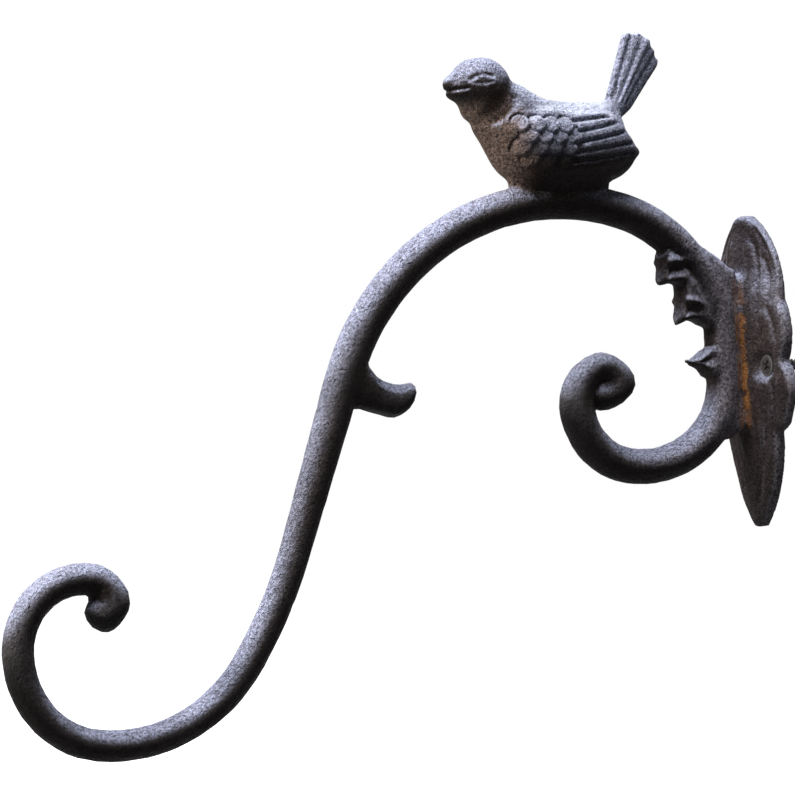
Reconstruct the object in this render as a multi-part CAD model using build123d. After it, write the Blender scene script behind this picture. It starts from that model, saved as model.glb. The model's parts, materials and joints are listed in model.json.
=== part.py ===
from build123d import *
import math
import os

# Cast iron wall hook. A round bar rises from a leaf-shaped plate, arches over and runs down to an open
# scroll. A small scroll turns back under the arch, and a bird sits on top of it.
# Millimetres. The origin is the middle of the plate's back face: X runs out from the wall, Z up, and
# Y = 0 is the parting plane of the mould, about which the casting is symmetric.

# Bar: its diameter at the wall, in the small scroll and at the two curled ends. Its section is a polygon
# with the area of that circle
BAR_D_WALL = 13.0
BAR_D_SMALL = 12.8
BAR_D_FAR = 10.8
BAR_D_FAR_END = 12.4
BAR_D_NEAR = 10.2
BAR_SIDES = 12
BAR_END_BULGE = 4.6
BAR_END_RINGS = 3
BAR_END_ANGLE = 72.0

# Arm, from the wall outwards: the radius and the turn in degrees of each arc
STEM_Z = -1.9
STEM_L = 9.5
STEM_BITE = 1.0
SPINE_R = 55.8
SPINE_TURN = 72.2
ARCH_R = 93.4
ARCH_TURN = 87.1
SHANK_L = 60.6
BEND_R = 169.0
BEND_TURN = 14.8
BOWL_R = 58.1
BOWL_TURN = 63.4
CROOK_R = 32.6
CROOK_TURN = 87.0
VOLUTE_R = 23.6
VOLUTE_TURN = 92.0
CURL_R = 7.2
CURL_TURN = 133.0

# Small scroll, from the wall downwards
HEEL_R = 28.4
HEEL_TURN = 52.0
CUP_R = 38.2
CUP_TURN = 53.0
RISE_R = 24.0
RISE_TURN = 59.0
POST_L = 2.4
NECK_R = 13.7
NECK_TURN = 86.8
KNOB_R = 5.4
KNOB_TURN = 215.0

# Plate: a leaf with three side lobes a side, domed on the front and flat on the back
LEAF_TOP = 57.5
LEAF_BOTTOM = 57.5
LEAF_TIP_W = 7.0
LEAF_TIP_FALL = 0.4
LEAF_RIM = 3.0
LEAF_CROWN = 9.5
# Each lobe is an arc: its middle and the notch at its lower end, as (Y, Z)
LEAF_SHOULDER = ((19.4, 40.0), (22.0, 25.5))
LEAF_UPPER_LOBE = ((25.3, 14.5), (22.6, 3.4))
LEAF_LOWER_LOBE = ((26.6, -7.0), (16.2, -22.6))
LEAF_TAIL_BULGE = (12.2, -42.0)
# The dome is drawn through arcs across the leaf: height up the plate, half width and crown of each
LEAF_DOME = (
    (60.0, 9.0, 3.8),
    (44.0, 18.5, 5.6),
    (20.0, 27.0, 8.8),
    (-6.0, 28.0, LEAF_CROWN),
    (-25.0, 18.5, 7.6),
    (-44.0, 12.8, 5.9),
    (-60.0, 5.5, 4.3),
)
DOME_FACETS = 10
# Veins are grooves on the dome: start, middle and end as (Y, Z)
VEINS = (
    ((7.0, 49.0), (11.5, 34.0), (13.5, 14.0)),
    ((12.5, 42.0), (17.0, 33.0), (18.5, 23.0)),
    ((17.0, 23.0), (20.5, 17.0), (21.5, 9.0)),
    ((8.0, -18.0), (7.5, -33.0), (3.5, -48.0)),
)
VEIN_W = 3.0
VEIN_DEPTH = 0.8

# Screws: No. 8 countersunk wood screws, and their holes
SCREW_SPACING = 32.0
SCREW_Z = 1.7
SCREW_HEAD_D = 8.0
SCREW_NECK_D = 3.1
SCREW_THREAD_D = 4.2
SCREW_LENGTH = 38.0
SCREW_POINT_D = 3.6
SCREW_TIP_D = 0.8
SCREW_SINK = 6.4
SCREW_CLEARANCE = 0.6
SCREW_HEAD_GAP = 0.2
SCREW_LAND = 0.3
SCREW_SIDES = 20

# Web between bar and plate: where its straight edges leave the bar, as turns, and reach the plate
WEB_T = 9.0
WEB_TOP = 31.0
WEB_TOP_TURN = 40.5
WEB_BOTTOM = -17.0
WEB_BOTTOM_TURN = 44.0

# Three leaf lobes on the bar's inner side. Each has an upper root, a tip and a lower root, given as a
# turn along the spine's arc and a reach inwards from the bar, then the hollow of its lower edge
LOBE_T = 11.0
LOBE_DRAFT = 14.0
LOBE_CREST_HOLLOW = 1.0
LEAF_LOBES = (
    ((52.0, -0.5), (41.2, 9.6), (33.0, 3.4), 0.6),
    ((35.0, 3.0), (17.4, 11.4), (7.0, -0.5), 3.2),
    ((4.0, -0.5), (-2.6, 10.2), (-12.4, -0.5), 1.6),
)

# Lip: a short upturned hook on the arm's inner side, as offsets from the end of the arch
LIP_ROOT_TOP = (-7.2, 13.4)
LIP_HOLLOW = (-19.0, -1.8)
LIP_TIP = (-27.4, -1.6)
LIP_BELLY = (-25.1, -11.0)
LIP_KEEL = (-17.6, -14.2)
LIP_ROOT_LOW = (-0.6, -8.9)
LIP_T = 10.4
LIP_DRAFT = 18.0

# Bird: sections of the body as (forward of the perch, up, lean in degrees, half height, half width)
BODY_SECTIONS = (
    (25.5, 31.5, 43.0, 8.0, 7.5),
    (21.3, 27.4, 42.0, 12.3, 10.6),
    (16.1, 20.4, 36.0, 15.4, 13.2),
    (6.0, 15.2, 22.0, 16.6, 14.8),
    (-9.0, 14.2, 3.0, 15.8, 14.4),
    (-22.0, 14.8, -4.0, 13.8, 11.4),
    (-29.5, 13.6, 0.0, 7.6, 7.0),
)
BODY_SIDES = 16
WING_END_SECTION = (-35.5, 13.5, 0.0, 3.2, 4.2)
HEAD_AT = (28.5, 34.9)
HEAD_HALF = (12.0, 10.6, 11.8)
HEAD_RINGS = (-75.0, -45.0, 0.0, 45.0, 75.0)
# Beak: sections as (out from its root, half height, half width)
BEAK_AT = (36.0, 38.2)
BEAK_DROP = 12.0
BEAK_SECTIONS = ((0.0, 4.2, 4.6), (4.0, 3.1, 3.3), (6.8, 1.6, 1.4))
BEAK_SIDES = 10
EYE_AT = (31.8, 38.4)
EYE_D = 4.0
EYE_SIDES = 10
EYE_STAND = 1.0
EYE_SLOPE = 32.0
PERCH_BACK = 1.5
PERCH_SINK = 0.9
MOUND_SHIFT = -1.5
MOUND_HALF_L = 20.0
MOUND_HALF_W = 5.0
MOUND_FLARE = 4.0
MOUND_HALF_H = 7.0

# Wings: a raised skin on the body's flanks, with grooves between the feathers
WING_LIFT = 1.3
WING_SHOULDER = (20.0, 17.0)
# The wing's outline goes on from the shoulder as arcs: the middle and the end of each
WING_ARCS = (
    ((13.0, 25.0), (0.0, 26.0)),
    ((-12.0, 25.2), (-21.8, 23.5)),
    ((-26.0, 17.6), (-32.6, 11.0)),
    ((-17.0, 6.0), (0.0, 4.0)),
    ((13.5, 8.0), WING_SHOULDER),
)
FEATHER_GROOVE = 1.0
SCALE_R = 4.8
SCALE_PITCH = 7.0
SCALE_DROP = 6.4
SCALE_ROWS = 2
SCALE_COLUMNS = 3
SCALE_ORIGIN = (13.0, 18.5)
SCALE_FACING = 205.0
SCALE_SPREAD = 68.0
SCALE_LINE_W = 1.5
FLIGHT_LINE_W = 1.2
FLIGHT_LINES = (
    ((-7.0, 21.0), (-15.0, 21.0), (-27.0, 21.6)),
    ((-7.5, 16.0), (-17.0, 16.2), (-30.5, 17.6)),
    ((-6.0, 10.5), (-17.0, 11.0), (-33.5, 13.4)),
)

# Tail: a raised fan of ridged feathers in the parting plane, the front feather's length first
TAIL_LENGTHS = (33.6, 35.0, 34.4, 32.6, 30.6)
TAIL_FAN = 4.0
TAIL_PITCH = 1.2
TAIL_RISE = 61.0
TAIL_AT = (-23.9, 22.2)
TAIL_ROOT_W = 3.4
TAIL_END_W = 4.4
TAIL_END_BOW = 1.8
TAIL_T = 7.0
TAIL_THIN = 0.9
TAIL_RIDGE = 1.1


def oval(half_w, half_h, sides):
    """Polygon with the area of an ellipse and a flat at the end of each axis."""
    step = 2 * math.pi / sides
    grow = math.sqrt(step / math.sin(step))
    corners = []
    for number in range(sides):
        angle = step * (number + 0.5)
        corners.append((grow * half_w * math.cos(angle), grow * half_h * math.sin(angle)))
    return make_face(Polyline(*corners, close=True))


def bar(lines, start_d, end_d):
    """Bar along a chain of tangent lines and arcs."""
    path = Plane.XZ * Wire(lines)
    sections = []
    for position, diameter in ((0, start_d), (1, end_d)):
        plane = Plane(path @ position, x_dir=(0, 1, 0), z_dir=path % position)
        sections.append(plane * oval(diameter / 2, diameter / 2, BAR_SIDES))
    if start_d == end_d:
        return sweep(sections[0], path=path)
    return sweep(sections, path=path, multisection=True)


def bar_end(lines, diameter):
    """Rounded end of a bar."""
    path = Plane.XZ * Wire(lines)
    end = Plane(path @ 1, x_dir=(0, 1, 0), z_dir=path % 1)
    rings = []
    for number in range(BAR_END_RINGS + 1):
        angle = math.radians(BAR_END_ANGLE * number / BAR_END_RINGS)
        radius = diameter / 2 * math.cos(angle)
        rings.append(end * Pos(0, 0, BAR_END_BULGE * math.sin(angle)) * oval(radius, radius, BAR_SIDES))
    return loft(rings, ruled=True)


def arm_lines():
    """Centre line of the arm in (X, Z), from the wall to the far scroll."""
    start = Vector(LEAF_CROWN + BAR_D_WALL / 2 - STEM_BITE, STEM_Z)
    stem = Line(start, start + Vector(0, STEM_L))
    spine = JernArc(stem @ 1, stem % 1, SPINE_R, -SPINE_TURN)
    arch = JernArc(spine @ 1, spine % 1, ARCH_R, -ARCH_TURN)
    shank = Line(arch @ 1, arch @ 1 + (arch % 1) * SHANK_L)
    bend = JernArc(shank @ 1, shank % 1, BEND_R, BEND_TURN)
    bowl = JernArc(bend @ 1, bend % 1, BOWL_R, BOWL_TURN)
    crook = JernArc(bowl @ 1, bowl % 1, CROOK_R, CROOK_TURN)
    volute = JernArc(crook @ 1, crook % 1, VOLUTE_R, VOLUTE_TURN)
    curl = JernArc(volute @ 1, volute % 1, CURL_R, CURL_TURN)
    return stem, spine, arch, shank, bend, bowl, crook, volute, curl


def small_scroll_lines(start):
    """Centre line of the small scroll as arcs in (X, Z), from the wall to its knob."""
    heel = JernArc(start, (0, -1), HEEL_R, HEEL_TURN)
    cup = JernArc(heel @ 1, heel % 1, CUP_R, CUP_TURN)
    rise = JernArc(cup @ 1, cup % 1, RISE_R, RISE_TURN)
    post = Line(rise @ 1, rise @ 1 + (rise % 1) * POST_L)
    neck = JernArc(post @ 1, post % 1, NECK_R, NECK_TURN)
    knob = JernArc(neck @ 1, neck % 1, KNOB_R, KNOB_TURN)
    return heel, cup, rise, post, neck, knob


def scroll_bars(arm, small):
    """The two bars with their curled ends: the arm thins in its shank and thickens again in its curl."""
    bars = bar(arm[:3], BAR_D_WALL, BAR_D_WALL) + bar(arm[3:4], BAR_D_WALL, BAR_D_FAR)
    bars += bar(arm[4:8], BAR_D_FAR, BAR_D_FAR) + bar(arm[8:], BAR_D_FAR, BAR_D_FAR_END)
    bars += bar_end(arm, BAR_D_FAR_END)
    bars += bar(small[:4], BAR_D_SMALL, BAR_D_SMALL) + bar(small[4:5], BAR_D_SMALL, BAR_D_NEAR)
    return bars + bar(small[5:], BAR_D_NEAR, BAR_D_NEAR) + bar_end(small, BAR_D_NEAR)


def dart(points, width):
    """Narrow face along a line of points, pointed at both ends and widest between them."""
    line = [Vector(*point) for point in points]
    side = (line[-1] - line[0]).normalized().rotate(Axis.Z, 90) * (width / 2)
    there = [point + side for point in line[1:-1]]
    back = [point - side for point in reversed(line[1:-1])]
    return make_face(Polyline(line[0], *there, line[-1], *back, close=True))


def leaf_dome():
    """Body with the plate's domed front, wider than the leaf."""
    sections = []
    for z, half_w, crown in LEAF_DOME:
        bow = ThreePointArc((-half_w, LEAF_RIM), (0, crown), (half_w, LEAF_RIM))
        front = [bow @ (number / DOME_FACETS) for number in range(DOME_FACETS + 1)]
        section = make_face(Polyline(*front, (half_w, 0), (-half_w, 0), close=True))
        sections.append(Plane((0, 0, z), x_dir=(0, 1, 0), z_dir=(0, 0, -1)) * section)
    return loft(sections, ruled=True)


def leaf_plate():
    """Lobed leaf with a flat back, a domed front, vein grooves and two screw holes."""
    top = Polyline((0, LEAF_TOP), (LEAF_TIP_W / 2, LEAF_TOP - LEAF_TIP_FALL))
    shoulder = ThreePointArc(top @ 1, *LEAF_SHOULDER)
    upper = ThreePointArc(shoulder @ 1, *LEAF_UPPER_LOBE)
    lower = ThreePointArc(upper @ 1, *LEAF_LOWER_LOBE)
    tail_end = (LEAF_TIP_W / 4, LEAF_TIP_FALL - LEAF_BOTTOM)
    tail_edge = ThreePointArc(lower @ 1, LEAF_TAIL_BULGE, tail_end)
    close = Polyline(tail_end, (0, -LEAF_BOTTOM), (0, LEAF_TOP))
    side = make_face([top, shoulder, upper, lower, tail_edge, close])
    outline = side + mirror(side, Plane.YZ)

    dome = leaf_dome()
    plate = extrude(Plane.YZ * outline, 2 * LEAF_CROWN) & dome

    veins = Sketch()
    for points in VEINS:
        vein = dart(points, VEIN_W)
        veins += vein + mirror(vein, Plane.YZ)
    plate -= extrude(Plane.YZ * veins, 2 * LEAF_CROWN) - Pos(-VEIN_DEPTH, 0, 0) * dome
    for place in screw_places():
        plate -= Pos(*place) * screw_hole()
    return plate


def around(arc, start_angle, turn, radius):
    """Point in (X, Z) at a turn from an arc's start and a distance from its centre."""
    angle = math.radians(start_angle - turn)
    return arc.arc_center + Vector(math.cos(angle), math.sin(angle)) * radius


def web(arm, small):
    """Flat web that joins the bar to the plate above and below the stem."""
    stem, spine = arm[:2]
    heel = small[0]
    outer_top = around(spine, 180, WEB_TOP_TURN, SPINE_R + BAR_D_WALL / 2)
    outer_low = around(heel, 180, -WEB_BOTTOM_TURN, HEEL_R + BAR_D_SMALL / 2)
    spine_top = around(spine, 180, WEB_TOP_TURN, SPINE_R)
    heel_low = around(heel, 180, -WEB_BOTTOM_TURN, HEEL_R)
    spine_mid = around(spine, 180, WEB_TOP_TURN / 2, SPINE_R)
    heel_mid = around(heel, 180, -WEB_BOTTOM_TURN / 2, HEEL_R)
    outline = Polyline(
        (LEAF_RIM, WEB_BOTTOM), outer_low, heel_low, heel_mid, stem @ 0, stem @ 1, spine_mid, spine_top,
        outer_top, (LEAF_RIM, WEB_TOP), close=True,
    )
    return extrude(Plane.XZ * make_face(outline), WEB_T / 2, both=True)


def leaf_lobes(arm):
    """Three curled lobes on the inner side of the spine, thinner towards their flanks."""
    spine = arm[1]
    inner = SPINE_R - BAR_D_WALL / 2
    lobes = Part()
    for upper, tip, lower, hollow in LEAF_LOBES:
        top = around(spine, 180, upper[0], inner - upper[1])
        point = around(spine, 180, tip[0], inner - tip[1])
        bottom = around(spine, 180, lower[0], inner - lower[1])
        crest = SagittaArc(top, point, -LOBE_CREST_HOLLOW)
        belly = SagittaArc(point, bottom, -hollow)
        root = Polyline(
            bottom, around(spine, 180, lower[0], SPINE_R), around(spine, 180, upper[0], SPINE_R), top
        )
        outline = make_face([crest, belly, root])
        lobes += extrude(Plane.XZ * outline, LOBE_T / 2, both=True, taper=LOBE_DRAFT)
    return lobes


def lip(arm):
    """Short upturned hook below the arch."""
    at = arm[2] @ 1
    tip = at + Vector(*LIP_TIP)
    keel = at + Vector(*LIP_KEEL)
    root_low = at + Vector(*LIP_ROOT_LOW)
    root_top = at + Vector(*LIP_ROOT_TOP)
    outline = make_face(
        [
            ThreePointArc(root_top, at + Vector(*LIP_HOLLOW), tip),
            ThreePointArc(tip, at + Vector(*LIP_BELLY), keel),
            Line(keel, root_low),
            Line(root_low, root_top),
        ]
    )
    return extrude(Plane.XZ * outline, LIP_T / 2, both=True, taper=LIP_DRAFT)


def perch_point(arm):
    """Place of the bird, just behind the highest point of the arch."""
    centre = arm[2].arc_center
    return Vector(centre.X - PERCH_BACK, 0, centre.Y + ARCH_R + BAR_D_WALL / 2 - PERCH_SINK)


def body_loft(sections, swell):
    """Body through oval sections, each grown by a swell."""
    faces = []
    for forward, up, lean, half_h, half_w in sections:
        normal = (math.cos(math.radians(lean)), 0, math.sin(math.radians(lean)))
        plane = Plane((forward, 0, up), x_dir=(0, 1, 0), z_dir=normal)
        faces.append(plane * oval(half_w + swell, half_h + swell, BODY_SIDES))
    return loft(faces)


def wing_outline():
    """Folded wing seen from the side, from the shoulder to its tip and back."""
    arcs = []
    start = WING_SHOULDER
    for middle, end in WING_ARCS:
        arcs.append(ThreePointArc(start, middle, end))
        start = end
    return make_face(arcs)


def feather_grooves():
    """Crescents behind the shoulder scales and long slots between the flight feathers, in (X, Z)."""
    grooves = Sketch()
    for column in range(SCALE_COLUMNS):
        for row in range(SCALE_ROWS):
            forward = SCALE_ORIGIN[0] - column * SCALE_PITCH - (row % 2) * SCALE_PITCH / 2
            up = SCALE_ORIGIN[1] - row * SCALE_DROP
            rim = []
            for step in (-1, -1 / 3, 1 / 3, 1):
                angle = math.radians(SCALE_FACING + step * SCALE_SPREAD)
                rim.append((forward + SCALE_R * math.cos(angle), up + SCALE_R * math.sin(angle)))
            grooves += dart(rim, SCALE_LINE_W)
    for points in FLIGHT_LINES:
        grooves += dart(points, FLIGHT_LINE_W)
    return grooves


def wings():
    """The two wings, mirrored about the parting plane."""
    sections = BODY_SECTIONS + (WING_END_SECTION,)
    skin = body_loft(sections, WING_LIFT)
    floor = body_loft(sections, WING_LIFT - FEATHER_GROOVE)
    reach = max(section[4] for section in sections) + 2 * WING_LIFT
    blank = extrude(Plane.XZ * wing_outline(), -reach) & skin
    wing = blank - (extrude(Plane.XZ * feather_grooves(), -reach) - floor)
    return wing + mirror(wing, Plane.XZ)


def tail():
    """Fan of ridged feathers with rounded ends, thickest along its middle."""
    fan = Part()
    middle = (len(TAIL_LENGTHS) - 1) / 2
    for number, length in enumerate(TAIL_LENGTHS):
        place = middle - number
        corner = length - TAIL_END_BOW
        outline = Polyline(
            (0, -TAIL_ROOT_W / 2), (corner, -TAIL_END_W / 2), (length, -TAIL_END_W / 4),
            (length, TAIL_END_W / 4), (corner, TAIL_END_W / 2), (0, TAIL_ROOT_W / 2), close=True,
        )
        feather = extrude(make_face(outline), TAIL_T / 2 - TAIL_THIN * abs(place), both=True)
        levels = feather.faces().sort_by(Axis.Z)
        long_edges = []
        for side in (levels[0], levels[-1]):
            long_edges += side.edges().sort_by(Edge.length)[-2:]
        feather = chamfer(long_edges, TAIL_RIDGE)
        fan += Pos(0, place * TAIL_PITCH, 0) * Rot(0, 0, TAIL_FAN * place) * feather
    rise = math.radians(TAIL_RISE)
    away = (-math.cos(rise), 0, math.sin(rise))
    return Plane((TAIL_AT[0], 0, TAIL_AT[1]), x_dir=away, z_dir=(0, 1, 0)) * fan


def head():
    """Round head with a stubby beak and two eyes."""
    rings = []
    for latitude in HEAD_RINGS:
        angle = math.radians(latitude)
        ring = oval(HEAD_HALF[0] * math.cos(angle), HEAD_HALF[1] * math.cos(angle), BODY_SIDES)
        rings.append(Pos(HEAD_AT[0], 0, HEAD_AT[1] + HEAD_HALF[2] * math.sin(angle)) * ring)
    skull = loft(rings)
    beak_line = Plane((BEAK_AT[0], 0, BEAK_AT[1]), x_dir=(0, 1, 0), z_dir=(1, 0, 0)).rotated((0, BEAK_DROP, 0))
    beak = loft([Pos(0, 0, out) * oval(half_w, half_h, BEAK_SIDES) for out, half_h, half_w in BEAK_SECTIONS])
    beak = beak_line * beak
    forward = (EYE_AT[0] - HEAD_AT[0]) / HEAD_HALF[0]
    up = (EYE_AT[1] - HEAD_AT[1]) / HEAD_HALF[2]
    across = HEAD_HALF[1] * math.sqrt(1 - forward ** 2 - up ** 2)
    shape = skull + beak
    for side in (1, -1):
        root = Plane((EYE_AT[0], side * (across - EYE_STAND), EYE_AT[1]), z_dir=(0, side, 0))
        shape += extrude(root * RegularPolygon(EYE_D / 2, EYE_SIDES), 2 * EYE_STAND, taper=EYE_SLOPE / 2)
    return shape


def bird(arm):
    """Bird on a low mound on the arch."""
    mound_low = Pos(MOUND_SHIFT, 0, -MOUND_HALF_H) * oval(MOUND_HALF_L, MOUND_HALF_W, BODY_SIDES)
    mound_top = Pos(MOUND_SHIFT, 0, MOUND_HALF_H) * oval(MOUND_HALF_L, MOUND_HALF_W + MOUND_FLARE, BODY_SIDES)
    mound = loft([mound_low, mound_top])
    whole = body_loft(BODY_SECTIONS, 0) + mound + head() + wings() + tail()
    return Pos(perch_point(arm)) * whole


def screw_places():
    """Middles of the two screw holes on the wall."""
    return [(0, side * SCREW_SPACING / 2, SCREW_Z) for side in (1, -1)]


def pin(radius, low, high):
    """Round length along the wall's normal between two heights above the wall."""
    end = Plane((low, 0, 0), x_dir=(0, 1, 0), z_dir=(1, 0, 0))
    return extrude(end * oval(radius, radius, SCREW_SIDES), high - low)


def countersunk(head_r, neck_r, low, high):
    """Round length with a conical head at its high end."""
    slope = head_r - neck_r
    head = pin(head_r, high - slope - SCREW_LAND, high)
    return pin(neck_r, low, high) + chamfer(head.faces().sort_by(Axis.X)[0].edges(), slope)


def screw_hole():
    """Countersunk hole for a screw."""
    bore = SCREW_NECK_D / 2 + SCREW_CLEARANCE
    mouth = SCREW_HEAD_D / 2 + SCREW_LAND + SCREW_CLEARANCE / 2
    above = LEAF_CROWN - SCREW_SINK
    return countersunk(mouth + above, bore, -bore, LEAF_CROWN + SCREW_LAND)


def wall_screw():
    """Countersunk screw: flat head, plain neck in the plate, thicker pointed shank in the wall."""
    top = SCREW_SINK - SCREW_HEAD_GAP
    tip = top - SCREW_LENGTH
    slope = (SCREW_POINT_D - SCREW_TIP_D) / 2
    point = pin(SCREW_POINT_D / 2, tip, 0)
    point = chamfer(point.faces().sort_by(Axis.X)[0].edges(), slope)
    into_wall = Plane((0, 0, 0), x_dir=(0, 1, 0), z_dir=(-1, 0, 0))
    shank = extrude(into_wall * Circle(SCREW_THREAD_D / 2), -tip - slope)
    return point + shank + countersunk(SCREW_HEAD_D / 2, SCREW_NECK_D / 2, 0, top)


def hook_casting():
    """The whole casting as one solid."""
    arm = arm_lines()
    small = small_scroll_lines(arm[0] @ 0)
    return scroll_bars(arm, small) + leaf_plate() + web(arm, small) + leaf_lobes(arm) + lip(arm) + bird(arm)


def wall_screws():
    """Both screws, as two separate solids."""
    return Compound([Pos(*place) * wall_screw() for place in screw_places()])


os.makedirs("parts", exist_ok=True)
export_step(hook_casting(), "parts/hook_casting.step")
export_step(wall_screws(), "parts/wall_screws.step")
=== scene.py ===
import json
import math

import bmesh
import bpy
import numpy as np
from mathutils import Matrix, Vector


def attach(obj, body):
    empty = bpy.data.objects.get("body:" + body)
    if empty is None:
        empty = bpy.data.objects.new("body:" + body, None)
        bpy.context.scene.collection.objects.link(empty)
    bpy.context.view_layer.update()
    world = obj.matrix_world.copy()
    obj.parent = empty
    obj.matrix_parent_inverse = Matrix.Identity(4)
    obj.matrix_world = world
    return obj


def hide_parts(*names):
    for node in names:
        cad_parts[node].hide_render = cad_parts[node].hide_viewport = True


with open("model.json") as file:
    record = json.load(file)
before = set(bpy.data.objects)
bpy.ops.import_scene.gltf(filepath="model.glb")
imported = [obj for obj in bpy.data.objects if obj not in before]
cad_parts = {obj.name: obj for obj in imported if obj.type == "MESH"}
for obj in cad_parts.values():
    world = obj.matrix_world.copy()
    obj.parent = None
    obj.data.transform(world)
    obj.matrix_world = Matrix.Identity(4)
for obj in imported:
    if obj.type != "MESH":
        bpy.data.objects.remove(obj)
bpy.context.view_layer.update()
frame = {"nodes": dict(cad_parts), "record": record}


# The hook: one piece of grey iron, poured in sand in a mould that parts along the middle of the bar.
# Plate, arm, scrolls, leaf lobes, lip and bird come out of the mould together. Its inner corners are
# rounded by the pattern maker's fillets, and the feathers are cut in the pattern.

# SKIN_VOXEL is in metres. Places and sizes on the casting are in millimetres: (X, Z) for the bars, the lobes
# and the lip, and (u, w), forward and up from the perch, for the bird.
SKIN_VOXEL = 0.00045
CASTING_TRIANGLES = 188000
BIRD_PERCH = (80.8, 70.8)
BAR_END_BULGE = 4.6
FAR_CURL = (264.0, -68.0)
SMALL_CURL = (58.0, -1.0)
LIP = (160.0, 6.0)


def plain_mesh(piece):
    """Gives a piece the mesh that its modifiers make, and takes the modifiers away."""
    depsgraph = bpy.context.evaluated_depsgraph_get()
    made = bpy.data.meshes.new_from_object(piece.evaluated_get(depsgraph))
    piece.modifiers.clear()
    piece.data = made


def points_mm(mesh):
    """The mesh's points as an array, in millimetres."""
    flat = np.empty(len(mesh.vertices) * 3, np.float32)
    mesh.vertices.foreach_get("co", flat)
    return flat.reshape(-1, 3).astype(np.float64) * 1000


def put_points_mm(mesh, points):
    """Moves the mesh's points to places in millimetres."""
    mesh.vertices.foreach_set("co", (points / 1000).astype(np.float32).ravel())
    mesh.update()


class CastSkin:
    """Points, edges and corners of a closed skin of quads, with the moves that round and carve it."""

    def __init__(self, mesh):
        self.points = points_mm(mesh)
        edges = np.empty(len(mesh.edges) * 2, np.int32)
        mesh.edges.foreach_get("vertices", edges)
        edges = edges.reshape(-1, 2)
        self.tail = np.r_[edges[:, 0], edges[:, 1]]
        self.head = np.r_[edges[:, 1], edges[:, 0]]
        self.count = len(self.points)
        self.degree = np.maximum(np.bincount(self.tail, minlength=self.count), 1)
        mesh.calc_loop_triangles()
        corners = np.empty(len(mesh.loop_triangles) * 3, np.int32)
        mesh.loop_triangles.foreach_get("vertices", corners)
        self.corners = corners.reshape(-1, 3)

    def spread(self, values):
        """Mean of each point's neighbours."""
        total = np.bincount(self.tail, values[self.head], minlength=self.count)
        return total / self.degree

    def pull(self):
        """Way from each point to the middle of its neighbours."""
        return np.stack([self.spread(self.points[:, axis]) for axis in range(3)], 1) - self.points

    def normals(self):
        """Outward direction at each point."""
        a, b, c = (self.points[self.corners[:, k]] for k in range(3))
        face = np.cross(b - a, c - a)
        total = np.zeros_like(self.points)
        for k in range(3):
            for axis in range(3):
                total[:, axis] += np.bincount(self.corners[:, k], face[:, axis], minlength=self.count)
        return total / (np.linalg.norm(total, axis=1, keepdims=True) + 1e-12)

    def soften(self, turns, share):
        """Smooths the skin, more where the share is larger, and gives back the size that it loses."""
        before = self.points.copy()
        for turn in range(turns):
            self.points += 0.5 * share[:, None] * self.pull()
        out = self.normals()
        lost = np.einsum("ij,ij->i", before - self.points, out)
        for turn in range(40):
            lost = self.spread(lost)
        self.points += out * lost[:, None]

    def fill_corners(self, turns, share):
        """Fills inner corners as a fillet does, and leaves outer ones."""
        for turn in range(turns):
            if turn % 8 == 0:
                out = self.normals()
            step = np.einsum("ij,ij->i", self.pull(), out)
            self.points += out * (np.maximum(step, 0) * 0.6 * share)[:, None]

    def carve(self, height, blur):
        """Moves the skin along its outward direction by a height in millimetres, a little blurred."""
        for turn in range(blur):
            height = 0.4 * height + 0.6 * self.spread(height)
        self.points += self.normals() * height[:, None]


def rise(values, low, high):
    """Soft step from 0 at the low value to 1 at the high one."""
    t = np.clip((values - low) / (high - low), 0, 1)
    return t * t * (3 - 2 * t)


def spot(across, up, middle, radius):
    """Round patch, 1 at its middle and fading away from it."""
    return np.exp(-((np.hypot(across - middle[0], up - middle[1]) / radius) ** 2))


def disc(across, up, middle, inner, outer):
    """Round patch, 1 out to its inner radius and 0 beyond the outer one."""
    return 1 - rise(np.hypot(across - middle[0], up - middle[1]), inner, outer)


def near_line(u, w, line):
    """Distance to a bent line through three points, the side of it and the place along it.

    The side is positive above a line that is drawn towards the wall.
    """
    (ax, ay), (bx, by), (cx, cy) = line
    mx, my = 2 * bx - (ax + cx) / 2, 2 * by - (ay + cy) / 2
    best = np.full(len(u), 1e9)
    side = np.zeros(len(u))
    place = np.zeros(len(u))
    for t in np.linspace(0, 1, 33):
        x = (1 - t) ** 2 * ax + 2 * t * (1 - t) * mx + t * t * cx
        y = (1 - t) ** 2 * ay + 2 * t * (1 - t) * my + t * t * cy
        dx = 2 * (1 - t) * (mx - ax) + 2 * t * (cx - mx)
        dy = 2 * (1 - t) * (my - ay) + 2 * t * (cy - my)
        distance = np.hypot(u - x, w - y)
        closer = distance < best
        best = np.where(closer, distance, best)
        cross = dx * (w - y) - dy * (u - x)
        side = np.where(closer, -np.sign(cross), side)
        place = np.where(closer, t, place)
    return best, side, place


def groove(u, w, line, width):
    """Cut along a bent line, 1 deep in its middle and fading out at its ends."""
    distance, place = near_line(u, w, line)[::2]
    return np.exp(-((distance / width) ** 2)) * rise(place, -0.02, 0.1) * (1 - rise(place, 0.9, 1.02))


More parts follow.
